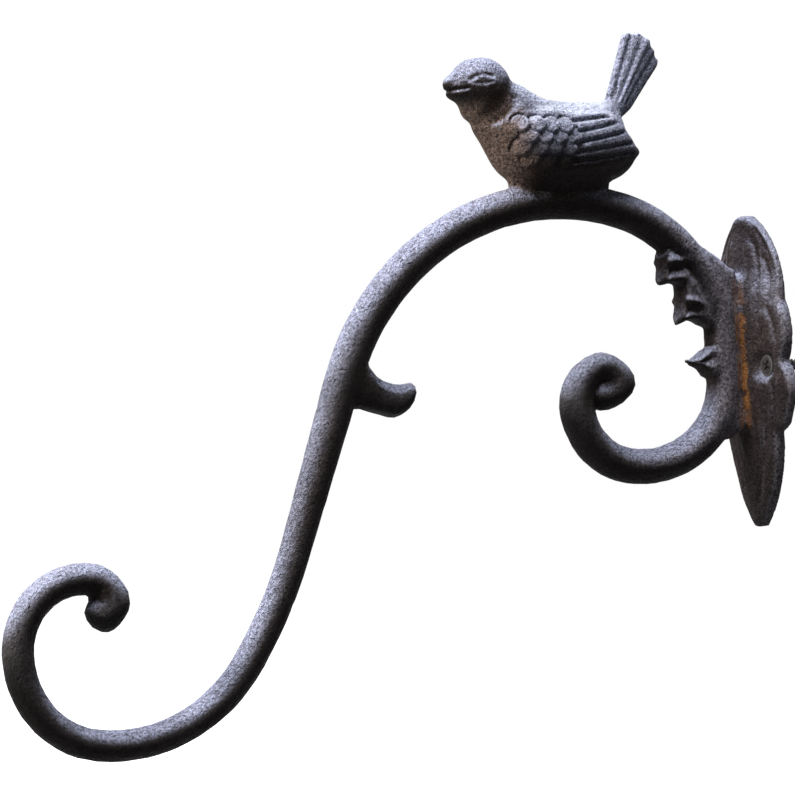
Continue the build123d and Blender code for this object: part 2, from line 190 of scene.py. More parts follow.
def bar_line(start, heading, runs):
    """Centre line of a bar in (X, Z): places, directions and the bar's radius along it.

    A run is its length or radius, its turn in degrees (0 for a straight run) and the bar's radius at its
    start and end.
    """
    places, directions, radii = [], [], []
    here = np.array(start, float)
    angle = math.radians(heading)
    for size, turn, start_r, end_r in runs:
        length = size if turn == 0 else size * abs(math.radians(turn))
        number = max(8, int(length / 0.35))
        for step in range(number):
            share = step / number
            now = angle + math.radians(turn) * share
            if turn == 0:
                place = here + size * share * np.array((math.cos(now), math.sin(now)))
            else:
                lean = math.copysign(math.pi / 2, turn)
                centre = here + size * np.array((math.cos(angle + lean), math.sin(angle + lean)))
                place = centre - size * np.array((math.cos(now + lean), math.sin(now + lean)))
            places.append(place)
            directions.append((math.cos(now), math.sin(now)))
            radii.append(start_r + (end_r - start_r) * share)
        if turn == 0:
            here = here + size * np.array((math.cos(angle), math.sin(angle)))
        else:
            last = angle + math.radians(turn)
            here = centre - size * np.array((math.cos(last + lean), math.sin(last + lean)))
        angle += math.radians(turn)
    places.append(here)
    directions.append((math.cos(angle), math.sin(angle)))
    radii.append(runs[-1][3])
    return np.array(places), np.array(directions), np.array(radii)


def round_bar(points, line):
    """Brings points close to a bar onto its true round skin, and returns how much each belongs to it."""
    places, directions, radii = line
    nearest = np.empty(len(points), int)
    for low in range(0, len(points), 4000):
        part = points[low:low + 4000]
        square = (part[:, [0]] - places[:, 0]) ** 2 + (part[:, [2]] - places[:, 1]) ** 2
        nearest[low:low + 4000] = np.argmin(square, 1)
    centre = np.zeros_like(points)
    centre[:, 0], centre[:, 2] = places[nearest].T
    along = np.zeros_like(points)
    along[:, 0], along[:, 2] = directions[nearest].T
    away = points - centre
    ahead = np.einsum("ij,ij->i", away, along)
    beyond = (nearest == len(places) - 1) & (ahead > 0)
    flat = away - along * ahead[:, None]
    across = np.linalg.norm(flat, axis=1) + 1e-9
    radius = radii[nearest]
    reach = np.where(beyond, np.hypot(across / radius, ahead / BAR_END_BULGE), across / radius)
    on_end = away / (reach[:, None] + 1e-9)
    on_side = flat / reach[:, None] + along * ahead[:, None]
    wanted = np.where(beyond[:, None], on_end, on_side)
    belongs = 1 - rise(np.abs(reach - 1) * radius, 0.9, 1.9)
    points += (centre + wanted - points) * belongs[:, None]
    return belongs


# The arm is a stem, spine, arch, straight shank, bend, bowl, crook, volute and curl
BAR_START = (15.0, -1.9)
WALL_R = 6.5
FAR_R = 5.4
FAR_END_R = 6.2
SMALL_R = 6.4
SMALL_END_R = 5.1
ARM_LINE = bar_line(BAR_START, 90, (
    (9.5, 0, WALL_R, WALL_R), (55.8, -72.2, WALL_R, WALL_R), (93.4, -87.1, WALL_R, WALL_R),
    (60.6, 0, WALL_R, FAR_R), (169.0, 14.8, FAR_R, FAR_R), (58.1, 63.4, FAR_R, FAR_R),
    (32.6, 87.0, FAR_R, FAR_R), (23.6, 92.0, FAR_R, FAR_R), (7.2, 133.0, FAR_R, FAR_END_R),
))
# The small scroll is a heel, cup, rise, short post, neck and knob
SMALL_LINE = bar_line(BAR_START, -90, (
    (28.4, 52.0, SMALL_R, SMALL_R), (38.2, 53.0, SMALL_R, SMALL_R), (24.0, 59.0, SMALL_R, SMALL_R),
    (2.4, 0, SMALL_R, SMALL_R), (13.7, 86.8, SMALL_R, SMALL_END_R), (5.4, 215.0, SMALL_END_R, SMALL_END_R),
))

casting_node = frame["nodes"]["hook_casting"]
casting_mesh = casting_node.data.copy()
welded = bmesh.new()
welded.from_mesh(casting_mesh)
bmesh.ops.remove_doubles(welded, verts=welded.verts, dist=1e-6)
welded.to_mesh(casting_mesh)
welded.free()
casting = bpy.data.objects.new("iron_hook", casting_mesh)
bpy.context.scene.collection.objects.link(casting)
remesh = casting.modifiers.new("sand_skin", "REMESH")
remesh.mode = "VOXEL"
remesh.voxel_size = SKIN_VOXEL
plain_mesh(casting)

# Shares of the skin that belong to each part of the casting
skin = CastSkin(casting.data)
x, y, z = skin.points.T.copy()
u, w = x - BIRD_PERCH[0], z - BIRD_PERCH[1]
side = np.abs(y)
in_bird = rise(w, 1.0, 4.0) * (1 - rise(np.abs(u - 2), 50.0, 54.0))
tail_along = (u + 26.0) * -0.485 + (w - 27.0) * 0.875
in_tail = in_bird * rise(tail_along, 1.0, 4.0) * rise(-u, 18.0, 22.0)
on_plate = 1 - rise(x, 9.5, 12.0)
on_back = 1 - rise(x, 0.4, 1.4)
on_lobes = rise(x, 19.0, 22.0) * (1 - rise(x, 44.0, 47.0)) * rise(z, -6.0, -3.0)
on_lobes *= 1 - rise(z, 46.0, 49.0)
on_joint = (1 - rise(x, 24.0, 30.0)) * (1 - rise(np.abs(z - 6), 44.0, 50.0))
at_mound = (1 - rise(np.abs(w - 1.0), 5.0, 10.0)) * (1 - rise(np.abs(u + 1), 30.0, 36.0))
at_lip = disc(x, z, LIP, 18.0, 26.0)
at_curl = disc(x, z, FAR_CURL, 10.0, 14.0) + disc(x, z, SMALL_CURL, 9.0, 12.0)

# Rounding: the bars and the body become smooth, the veins, tail and lobes stay crisper
softness = 1 - 0.75 * in_tail
softness *= 1 - 0.55 * on_plate * (1 - on_joint * rise(7.0 - side, 0.0, 3.0))
softness *= 1 - 0.45 * on_lobes
softness *= 1 - on_back
skin.soften(90, softness)
bar_share = np.maximum(round_bar(skin.points, ARM_LINE), round_bar(skin.points, SMALL_LINE))
skin.soften(6, bar_share)
TAIL_CORNER = (-20.5, 28.5)
CHIN_CORNER = (31.5, 21.0)
fillets = np.clip(0.9 * on_joint + 0.7 * at_mound + 0.9 * at_lip + at_curl + 0.25 * in_bird, 0, 1)
for corner in (TAIL_CORNER, CHIN_CORNER):
    fillets = np.maximum(fillets, in_bird * spot(u, w, corner, 6.0))
fillets *= (1 - 0.7 * on_lobes) * (1 - 0.8 * in_tail) * (1 - on_back)
skin.fill_corners(90, fillets)

# Leaf lobes: each is a fold with a crest that runs back to the bar and a hollow under it
LOBE_CRESTS = (
    ((43.6, 40.0), (36.0, 41.8), (27.0, 41.0)),
    ((37.4, 27.6), (30.0, 27.0), (22.0, 24.4)),
    ((32.0, 5.6), (25.5, 8.4), (18.5, 9.4)),
)
LOBE_NOSES = ((41.0, 35.5), (34.5, 20.5), (28.5, 4.5))
x, y, z = skin.points.T.copy()
out = skin.normals()
on_flank = rise(np.abs(out[:, 1]), 0.35, 0.7)
fold = np.zeros(skin.count)
for crest in LOBE_CRESTS:
    distance, above, place = near_line(x, z, crest)
    height = distance * above
    fade = 1 - rise(place, 0.55, 1.0)
    fold += fade * np.exp(-((height / 1.3) ** 2)) * (distance < 6)
    fold -= 1.5 * fade * np.exp(-(((height + 3.6) / 1.9) ** 2)) * (distance < 8)
skin.carve(fold * on_flank * rise(x, 17.0, 20.0), 3)

# Lip: its upper edge is cut away towards both flanks, which leaves a hollow pale face
LIP_MIDDLE = 150.0
LIP_HALF_LENGTH = 8.2
LIP_HOLLOW = (150.6, -1.2)
LIP_HOLLOW_REACH = 7.2
LIP_HOLLOW_RISE = 4.4
LIP_TOP = 3.8
LIP_EDGE = 0.7
LIP_SWELL = 5.2
x, y, z = skin.points.T.copy()
hollow_low = LIP_HOLLOW[1] + LIP_HOLLOW_RISE * ((x - LIP_HOLLOW[0]) / LIP_HOLLOW_REACH) ** 2
climb = np.clip((z - hollow_low) / np.maximum(LIP_TOP - hollow_low, 0.3), 0, 1)
widest = LIP_EDGE + LIP_SWELL * (1 - climb) ** 0.8
in_lip = (np.abs(x - LIP_MIDDLE) < LIP_HALF_LENGTH) & (z > -4) & (z < 8)
narrowed = np.where(in_lip, np.minimum(np.abs(y), widest), np.abs(y))
skin.points[:, 1] = np.copysign(narrowed, y)
skin.soften(4, at_lip)

# Noses of the lobes hang a little, both scrolls end in a full knob and the leaf's upper rim is thin. The
# bird's throat, breast and rump are drawn in, and its wing tips, lower beak, chin and tail root filled out
NOSE_DROP = 1.1
SMALL_KNOB = (52.5, -2.0)
FAR_KNOB = (258.0, -66.0)
THROAT = (38.0, 28.6)
BREAST_W = 11.0
RUMP = (-30.0, 20.5)
WING_TIP = (-31.5, 8.0)
LOWER_BEAK = (41.0, 33.4)
CHIN = (31.0, 21.0)
TAIL_ROOT = (-20.5, 28.0)
out = skin.normals()
for nose in LOBE_NOSES:
    skin.points[:, 2] -= NOSE_DROP * spot(x, z, nose, 3.6)
towards_wall = np.clip(0.4 - out[:, 0], 0, 1)
knob = spot(x, z, SMALL_KNOB, 7.5) * towards_wall
far_knob = spot(x, z, FAR_KNOB, 7.0) * towards_wall
u, w = x - BIRD_PERCH[0], z - BIRD_PERCH[1]
forward = np.maximum(out[:, 0], 0)
throat = in_bird * forward * np.exp(-(((u - THROAT[0]) / 7.0) ** 2) - ((w - THROAT[1]) / 3.6) ** 2)
breast = in_bird * forward * np.exp(-(((w - BREAST_W) / 7.0) ** 2)) * rise(u, 8.0, 16.0)
rump = in_bird * spot(u, w, RUMP, 3.6)
wing_tip = in_bird * spot(u, w, WING_TIP, 3.6)
lower_beak = in_bird * spot(u, w, LOWER_BEAK, 2.6)
chin = spot(u, w, CHIN, 3.0)
tail_root = spot(u, w, TAIL_ROOT, 2.8)
leaf_rim = on_plate * (1 - on_back) * rise(z, 26.0, 40.0) * rise(np.abs(y), 5.0, 11.0)
leaf_rim *= rise(out[:, 0], 0.3, 0.8)
skin.carve(3.3 * knob + 1.8 * far_knob - 3.4 * throat - 1.8 * breast - 2.2 * rump + 1.6 * wing_tip, 6)
skin.carve(1.2 * lower_beak - 1.5 * leaf_rim + 1.7 * chin + 1.8 * tail_root, 6)

# Feathers: rounded scales on the shoulder, each lapping over the one behind it, then long flight feathers
SCALE_R = 3.5
SCALE_FACING = math.radians(232)
SCALE_PITCH = 5.6
SCALE_FALL = 0.4
SCALE_ROWS = ((19.4, 22.0, 4), (16.8, 17.8, 4), (19.0, 13.8, 4), (15.6, 9.8, 3))
FLIGHT_LINES = (
    ((0.0, 22.0), (-8.9, 22.9), (-19.0, 24.0)),
    ((-1.2, 18.1), (-9.5, 19.2), (-21.5, 21.6)),
    ((0.8, 14.0), (-9.5, 15.3), (-25.5, 18.4)),
    ((1.0, 10.2), (-12.3, 12.0), (-29.8, 14.4)),
    ((1.5, 6.8), (-12.1, 8.2), (-29.0, 10.6)),
)
x, y, z = skin.points.T.copy()
u, w = x - BIRD_PERCH[0], z - BIRD_PERCH[1]
side = np.abs(y)
flank = in_bird * (1 - in_tail) * rise(side, 4.5, 7.5)
scales = []
for start_u, start_w, number in SCALE_ROWS:
    for column in range(number):
        scales.append((start_u - SCALE_PITCH * column, start_w - SCALE_FALL * column))
feathering = np.zeros(skin.count)
lap = math.cos(SCALE_FACING), math.sin(SCALE_FACING)
for scale_u, scale_w in sorted(scales, key=lambda s: s[0] * lap[0] + s[1] * lap[1], reverse=True):
    du, dw = (u - scale_u) / SCALE_R, (w - scale_w) / SCALE_R
    from_middle = np.hypot(du, dw)
    lifted_scale = 0.35 + 0.95 * (du * lap[0] + dw * lap[1]) - 0.75 * rise(from_middle, 0.75, 1.0)
    feathering = np.where(from_middle < 1, lifted_scale, feathering)
wing_height = feathering * flank
for line in FLIGHT_LINES:
    distance, above, place = near_line(u, w, line)
    along = rise(place, 0.0, 0.08) * (1 - rise(place, 0.92, 1.0))
    rim = np.where(above > 0, np.exp(-distance / 1.6), 0)
    wing_height += flank * along * (0.6 * rim - 1.35 * np.exp(-((distance / 0.66) ** 2)))
skin.carve(wing_height, 1)

# Head: lidded eyes, the line of the mouth and the fold under the cheek
EYE = (31.8, 38.3)
BROW = ((36.6, 37.2), (32.0, 40.0), (26.8, 38.4))
LOWER_LID = ((36.0, 36.3), (31.2, 35.4), (26.4, 36.6))
LID_FOLD = ((35.6, 37.0), (31.4, 36.5), (27.4, 37.4))
MOUTH = ((45.5, 34.0), (40.5, 34.8), (36.0, 35.2))
CHEEK_FOLD = ((18.5, 33.0), (23.0, 25.6), (29.0, 22.4))
face = in_bird * rise(w, 16.0, 20.0) * rise(u, 12.0, 16.0)
cheek = face * rise(side, 3.0, 5.0)
head_height = -0.48 * cheek * groove(u, w, BROW, 0.6)
head_height -= 0.75 * cheek * spot(u, w, EYE, 2.4)
head_height += 0.1 * cheek * groove(u, w, LOWER_LID, 0.8)
head_height -= 0.15 * cheek * groove(u, w, LID_FOLD, 0.5)
head_height -= 0.75 * face * groove(u, w, MOUTH, 0.6)
head_height -= 0.9 * face * groove(u, w, CHEEK_FOLD, 1.3)
skin.carve(head_height, 1)

# Tail and plate: straight grooves between the tail's feathers, and veins with raised edges in the leaf
TAIL_GROOVES = (
    ((-24.0, 29.0), (-34.4, 54.6)), ((-25.6, 28.2), (-37.6, 51.6)),
    ((-26.9, 27.2), (-40.2, 49.0)), ((-28.2, 26.4), (-42.8, 46.6)),
)
LEAF_VEINS = (
    ((7.0, 50.0), (11.5, 34.0), (13.5, 12.0)),
    ((12.5, 43.0), (17.0, 33.0), (18.5, 21.0)),
    ((17.0, 24.0), (20.5, 17.0), (21.5, 8.0)),
    ((8.0, -16.0), (7.5, -33.0), (3.5, -50.0)),
    ((14.0, -14.0), (12.5, -24.0), (9.0, -36.0)),
    ((19.5, -3.0), (19.0, -12.0), (16.5, -19.0)),
)
VEIN_W = 1.0
VEIN_EDGE = 2.2
groove_height = np.zeros(skin.count)
for root, end in TAIL_GROOVES:
    middle = ((root[0] + end[0]) / 2, (root[1] + end[1]) / 2)
    groove_height -= 0.7 * in_tail * groove(u, w, (root, middle, end), 0.6)
for line in LEAF_VEINS:
    distance, place = near_line(side, z, line)[::2]
    vein = rise(place, 0.0, 0.12) * (1 - rise(place, 0.85, 1.0)) * on_plate * (1 - on_back)
    edge = np.exp(-(((distance - VEIN_EDGE) / 1.4) ** 2))
    groove_height += vein * (0.35 * edge - 0.5 * np.exp(-((distance / VEIN_W) ** 2)))
skin.carve(groove_height, 1)
put_points_mm(casting.data, skin.points)


def paint(tree, name, first, second, mask):
    """Mixes a second colour over a first one by a mask."""
    mix = tree.nodes.new("ShaderNodeMix")
    mix.data_type = "RGBA"
    mix.label = name
    for socket, value in ((mix.inputs[6], first), (mix.inputs[7], second), (mix.inputs[0], mask)):
        if isinstance(value, tuple):
            socket.default_value = (*value, 1)
        else:
            tree.links.new(value, socket)
    return mix.outputs[2]


def sum_up(tree, operation, first, second):
    """One step of arithmetic on values or plain numbers."""
    node = tree.nodes.new("ShaderNodeMath")
    node.operation = operation
    for socket, value in zip(node.inputs, (first, second)):
        if isinstance(value, float):
            socket.default_value = value
        else:
            tree.links.new(value, socket)
    return node.outputs[0]


def between(tree, value, low, high, to_low=0.0, to_high=1.0):
    """Soft ramp of a value."""
    node = tree.nodes.new("ShaderNodeMapRange")
    node.interpolation_type = "SMOOTHSTEP"
    node.inputs["From Min"].default_value = low
    node.inputs["From Max"].default_value = high
    node.inputs["To Min"].default_value = to_low
    node.inputs["To Max"].default_value = to_high
    tree.links.new(value, node.inputs["Value"])
    return node.outputs["Result"]


def grain_group():
    """Shader group for sand-cast metal: rough grain, pits and bright specks, on object coordinates."""
    tree = bpy.data.node_groups.new("sand_grain", "ShaderNodeTree")
    for name, default in (("Coarseness", 900.0), ("Pitting", 0.5)):
        socket = tree.interface.new_socket(name, in_out="INPUT", socket_type="NodeSocketFloat")
        socket.default_value = default
    for name in ("Height", "Grain", "Mottle", "Specks", "Pits"):
        tree.interface.new_socket(name, in_out="OUTPUT", socket_type="NodeSocketFloat")
    given = tree.nodes.new("NodeGroupInput")
    result = tree.nodes.new("NodeGroupOutput")
    place = tree.nodes.new("ShaderNodeTexCoord")
    link = tree.links.new

    def noise(scale_share, detail, roughness):
        texture = tree.nodes.new("ShaderNodeTexNoise")
        texture.inputs["Detail"].default_value = detail
        texture.inputs["Roughness"].default_value = roughness
        scale = sum_up(tree, "MULTIPLY", given.outputs["Coarseness"], scale_share)
        link(scale, texture.inputs["Scale"])
        link(place.outputs["Object"], texture.inputs["Vector"])
        return texture.outputs["Fac"]

    grain = noise(1.0, 4.0, 0.65)
    lumps = noise(0.28, 3.0, 0.5)
    mottle = noise(0.06, 4.0, 0.6)
    pits = between(tree, noise(0.75, 2.0, 0.4), 0.62, 0.74)
    pits = sum_up(tree, "MULTIPLY", pits, given.outputs["Pitting"])
    height = sum_up(tree, "MULTIPLY", grain, 0.6)
    height = sum_up(tree, "ADD", height, sum_up(tree, "MULTIPLY", lumps, 0.7))
    height = sum_up(tree, "SUBTRACT", height, sum_up(tree, "MULTIPLY", pits, 0.5))
    link(height, result.inputs["Height"])
    link(between(tree, grain, 0.36, 0.64), result.inputs["Grain"])
    link(between(tree, mottle, 0.32, 0.68), result.inputs["Mottle"])
    link(between(tree, noise(1.35, 2.0, 0.5), 0.58, 0.72), result.inputs["Specks"])
    link(pits, result.inputs["Pits"])
    return tree


sand_grain = grain_group()


def start_metal(name, coarseness, pitting):
    """New material with the sand grain in it: the material, its grain and the surface's geometry."""
    material = bpy.data.materials.new(name)
    material.use_nodes = True
    grain = material.node_tree.nodes.new("ShaderNodeGroup")
    grain.node_tree = sand_grain
    grain.inputs["Coarseness"].default_value = coarseness
    grain.inputs["Pitting"].default_value = pitting
    return material, grain, material.node_tree.nodes.new("ShaderNodeNewGeometry")


def finish_metal(tree, grain, colour, roughness, relief_strength, relief_height):
    """Links a metal's colour, its mottled roughness between two values and the relief of its grain."""
    surface = tree.nodes["Principled BSDF"]
    tree.links.new(colour, surface.inputs["Base Color"])
    mottled = between(tree, grain.outputs["Mottle"], 0.0, 1.0, *roughness)
    tree.links.new(mottled, surface.inputs["Roughness"])
    relief = tree.nodes.new("ShaderNodeBump")
    relief.inputs["Strength"].default_value = relief_strength
    relief.inputs["Distance"].default_value = relief_height
    tree.links.new(grain.outputs["Height"], relief.inputs["Height"])
    tree.links.new(relief.outputs["Normal"], surface.inputs["Normal"])
    return surface


# Places in the iron's colours, in metres
BREAST_MIDDLE = (0.108, 0, 0.084)
WEB_SIDE = 0.0062
PLATE_FACE = 0.0102
iron, grain, shape = start_metal("waxed_cast_iron", 980.0, 0.7)
tree = iron.node_tree
link = tree.links.new
facing = tree.nodes.new("ShaderNodeSeparateXYZ")
link(shape.outputs["Normal"], facing.inputs[0])
coordinates = tree.nodes.new("ShaderNodeTexCoord")
where = tree.nodes.new("ShaderNodeSeparateXYZ")
link(coordinates.outputs["Object"], where.inputs[0])

# Brown-black wax. The bird's breast is a lighter brown, partly its own tone and partly painted light; near
# the wall the brown is lighter, partly the plate's tone and partly painted light, and the web's sideways
# flanks get a pale painted sheen
brown = paint(tree, "wax", (0.036, 0.029, 0.027), (0.085, 0.066, 0.06), grain.outputs["Mottle"])
from_breast = tree.nodes.new("ShaderNodeVectorMath")
from_breast.operation = "DISTANCE"
from_breast.inputs[1].default_value = BREAST_MIDDLE
link(coordinates.outputs["Object"], from_breast.inputs[0])
on_breast = between(tree, from_breast.outputs["Value"], 0.012, 0.026, 0.7, 0.0)
# Lighter brown on the breast: partly the breast's own tone, partly painted light
brown = paint(tree, "brown breast, part painted light", brown, (0.5, 0.345, 0.27), on_breast)
near_wall = between(tree, where.outputs["X"], 0.03, 0.075, 0.75, 0.0)
# Lighter brown near the wall: partly the plate's tone, partly painted light on the plate and web
brown = paint(tree, "lighter near the wall, part painted light", brown, (0.085, 0.064, 0.064), near_wall)
# Painted sheen: a pale lavender on faces turned sideways near the wall, on the web and lobe flanks
sideways = between(tree, sum_up(tree, "ABSOLUTE", facing.outputs["Y"], 0.0), 0.5, 0.9)
web_flank_sheen = sum_up(tree, "MULTIPLY", sideways, near_wall)
brown = paint(tree, "painted sheen on web flanks", brown, (0.4, 0.36, 0.4), web_flank_sheen)
on_grains = between(tree, grain.outputs["Grain"], 0.0, 1.0, 0.35, 1.0)
brown = paint(tree, "dark between grains", (0.018, 0.014, 0.013), brown, on_grains)

# Greyer metal on worn edges, painted shade on what faces down and sideways, and on what faces up and on the
# bird's top a pale bluish colour that is partly dust and partly painted sheen, with a painted highlight on
# its crown
worn = between(tree, shape.outputs["Pointiness"], 0.505, 0.56)
metal = paint(tree, "worn metal", brown, (0.16, 0.15, 0.155), sum_up(tree, "MULTIPLY", worn, 0.75))
speck_share = sum_up(tree, "MULTIPLY", grain.outputs["Specks"], 0.3)
metal = paint(tree, "specks", metal, (0.2, 0.19, 0.2), speck_share)
# Painted shade: near-black on faces turned down and sideways, less on the breast and the leaf plate
downward = between(tree, facing.outputs["Z"], -0.25, 0.36, 0.94, 0.0)
on_leaf = between(tree, where.outputs["X"], 0.014, 0.03, 0.7, 0.0)
less_painted_shade = sum_up(tree, "MAXIMUM", on_breast, on_leaf)
downward = sum_up(tree, "MULTIPLY", downward, between(tree, less_painted_shade, 0.0, 0.7, 1.0, 0.45))
metal = paint(tree, "painted shade below", metal, (0.008, 0.0065, 0.006), downward)
# Pale bluish colour on faces turned up and on the bird's top: partly dust, partly painted sheen
upward = between(tree, facing.outputs["Z"], 0.05, 0.56)
high_up = between(tree, where.outputs["Z"], 0.078, 0.094, 0.0, 1.0)
high_up = sum_up(tree, "MULTIPLY", high_up, between(tree, where.outputs["X"], 0.09, 0.104, 1.0, 0.0))
# Painted highlight on the upward faces of the bird's top
crown_highlight = sum_up(tree, "MULTIPLY", high_up, between(tree, facing.outputs["Z"], 0.4, 0.85, 0.0, 0.42))
upward = sum_up(tree, "MAXIMUM", upward, high_up)
dust_and_sheen = sum_up(tree, "MULTIPLY", upward, between(tree, grain.outputs["Mottle"], 0.0, 1.0, 0.75, 1.0))
dust_and_sheen = sum_up(tree, "MULTIPLY", dust_and_sheen, between(tree, grain.outputs["Grain"], 0.0, 1.0, 0.4, 1.0))
dust_and_sheen = sum_up(tree, "MULTIPLY", dust_and_sheen, between(tree, where.outputs["X"], 0.014, 0.03, 0.9, 1.0))
metal = paint(tree, "dust_and_sheen", metal, (0.42, 0.44, 0.58), dust_and_sheen)
metal = paint(tree, "pale painted highlight", metal, (0.68, 0.72, 0.82), crown_highlight)
pit_share = sum_up(tree, "MULTIPLY", grain.outputs["Pits"], 0.4)
metal = paint(tree, "pits", metal, (0.012, 0.01, 0.009), pit_share)

# Orange rust in the corner between web and plate
across = sum_up(tree, "ABSOLUTE", where.outputs["Y"], 0.0)
off_web = sum_up(tree, "ABSOLUTE", sum_up(tree, "SUBTRACT", across, WEB_SIDE), 0.0)
off_face = sum_up(tree, "ABSOLUTE", sum_up(tree, "SUBTRACT", where.outputs["X"], PLATE_FACE), 0.0)
corner = between(tree, off_web, 0.0004, 0.002, 1.0, 0.0)
for share in (
    between(tree, off_face, 0.0006, 0.0026, 1.0, 0.0),
    between(tree, where.outputs["Z"], -0.031, -0.025),
    between(tree, where.outputs["Z"], 0.03, 0.036, 1.0, 0.0),
):
    corner = sum_up(tree, "MULTIPLY", corner, share)
patches = tree.nodes.new("ShaderNodeTexNoise")
patches.inputs["Scale"].default_value = 190.0
patches.inputs["Detail"].default_value = 3.0
link(coordinates.outputs["Object"], patches.inputs["Vector"])
rusty = sum_up(tree, "MULTIPLY", corner, between(tree, patches.outputs["Fac"], 0.34, 0.52))
rust = paint(tree, "rust", (0.36, 0.15, 0.05), (0.62, 0.41, 0.17), grain.outputs["Specks"])
metal = paint(tree, "rusty corner", metal, rust, rusty)
surface = finish_metal(tree, grain, metal, (0.66, 0.8), 1.0, 0.0034)
surface.inputs["Metallic"].default_value = 0.0
surface.inputs["Specular IOR Level"].default_value = 0.035

# Noise on the cast skin: how fine it is, per metre, and how far it moves the skin, in metres
UNEVENNESS = (
    ("Lump Size", 130.0), ("Lump Height", 0.0003), ("Grain Size", 620.0), ("Grain Height", 0.00022),
)


def unevenness_tree():
    """Nodes that move a cast skin in and out by two sizes of noise, and give it its material."""
    group = bpy.data.node_groups.new("cast_unevenness", "GeometryNodeTree")
    group.interface.new_socket("Geometry", in_out="INPUT", socket_type="NodeSocketGeometry")
    for name, default in UNEVENNESS:
        socket = group.interface.new_socket(name, in_out="INPUT", socket_type="NodeSocketFloat")
        socket.default_value = default
    group.interface.new_socket("Material", in_out="INPUT", socket_type="NodeSocketMaterial")
    group.interface.new_socket("Geometry", in_out="OUTPUT", socket_type="NodeSocketGeometry")
    add = group.nodes.new
    join = group.links.new
    given = add("NodeGroupInput")
    result = add("NodeGroupOutput")
    place = add("GeometryNodeInputPosition")
    normal = add("GeometryNodeInputNormal")
    total = 0.0
    for kind in ("Lump", "Grain"):
        texture = add("ShaderNodeTexNoise")
        texture.inputs["Detail"].default_value = 2.0
        join(place.outputs[0], texture.inputs["Vector"])
        join(given.outputs[kind + " Size"], texture.inputs["Scale"])
        centred = sum_up(group, "SUBTRACT", texture.outputs["Fac"], 0.5)
        sized = sum_up(group, "MULTIPLY", centred, given.outputs[kind + " Height"])
        total = sum_up(group, "ADD", total, sized)
    out = add("ShaderNodeVectorMath")
    out.operation = "SCALE"
    join(normal.outputs[0], out.inputs[0])
    join(total, out.inputs["Scale"])
    move = add("GeometryNodeSetPosition")
    join(given.outputs["Geometry"], move.inputs["Geometry"])
    join(out.outputs[0], move.inputs["Offset"])
    finish = add("GeometryNodeSetMaterial")
    join(move.outputs[0], finish.inputs["Geometry"])
    join(given.outputs["Material"], finish.inputs["Material"])
    join(finish.outputs[0], result.inputs[0])
    return group


def use_nodes(piece, group, values):
    """Puts a node tree on a piece with its inputs set by name, and keeps the mesh that it makes."""
    modifier = piece.modifiers.new(group.name, "NODES")
    modifier.node_group = group
    for item in group.interface.items_tree:
        if item.item_type == "SOCKET" and item.in_out == "INPUT" and item.name in values:
            modifier[item.identifier] = values[item.name]
    plain_mesh(piece)


use_nodes(casting, unevenness_tree(), {"Material": iron})

# Fine triangles stay on the bird and the leaves, and the plain bars get fewer
plainness = casting.vertex_groups.new(name="plainness")
keep_fine = np.clip(in_bird + 0.7 * on_lobes + 0.3 * on_plate, 0, 1)
for level in range(1, 11):
    chosen = np.nonzero(np.round((1 - 0.6 * keep_fine) * 10).astype(int) == level)[0]
    plainness.add(chosen.tolist(), level / 10, "REPLACE")
thin = casting.modifiers.new("fewer_faces", "DECIMATE")
thin.ratio = min(1.0, CASTING_TRIANGLES / len(skin.corners))
thin.vertex_group = plainness.name
thin.vertex_group_factor = 0.02
thin.use_collapse_triangulate = True
plain_mesh(casting)
casting.vertex_groups.clear()
casting.data.polygons.foreach_set("use_smooth", np.ones(len(casting.data.polygons), bool))
casting.data.update()
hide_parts("hook_casting")
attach(casting, "root")


# Wall screws: two No. 8 countersunk wood screws with a cross recess, rolled from steel wire and blackened.
# They sit in countersunk holes in the plate, and their threads go into the wall.

# Sizes in metres, and places along X
HEAD_R = 0.004
HEAD_LAND = 0.0003
HEAD_CHAMFER = 0.00012
HEAD_CHAMFER_DEPTH = 0.00008
NECK_R = 0.00155
NECK_STEP = 0.0006
THREAD_R = 0.0021
CORE_R = 0.00145
THREAD_PITCH = 0.0018
THREAD_HALF_W = 0.00042
THREAD_START = -0.001
THREAD_RUN_OUT = 0.0012
SCREW_TOP = 0.0062
SCREW_TIP = -0.0318
POINT_LENGTH = 0.0055
POINT_R = 0.00012
SCREW_STEPS = 40
THREAD_STEPS = 28
# The recess at its mouth and at its floor: place past the top of the head, half the length and half the
# width of a bar of the cross
RECESS_MOUTH = (0.0005, 0.0026, 0.00062)
RECESS_FLOOR = (-0.0021, 0.0009, 0.00036)


def turned_profile(rings, steps):
    """Solid of revolution about X through (x, radius) rings, closed at both ends."""
    mesh = bmesh.new()
    loops = []
    for along, radius in rings:
        loop = []
        for step in range(steps):
            angle = 2 * math.pi * step / steps
            loop.append(mesh.verts.new((along, radius * math.cos(angle), radius * math.sin(angle))))
        loops.append(loop)
    for low, high in zip(loops, loops[1:]):
        for step in range(steps):
            after = (step + 1) % steps
            mesh.faces.new((low[step], low[after], high[after], high[step]))
    mesh.faces.new(loops[0][::-1])
    mesh.faces.new(loops[-1])
    bmesh.ops.recalc_face_normals(mesh, faces=mesh.faces)
    return mesh


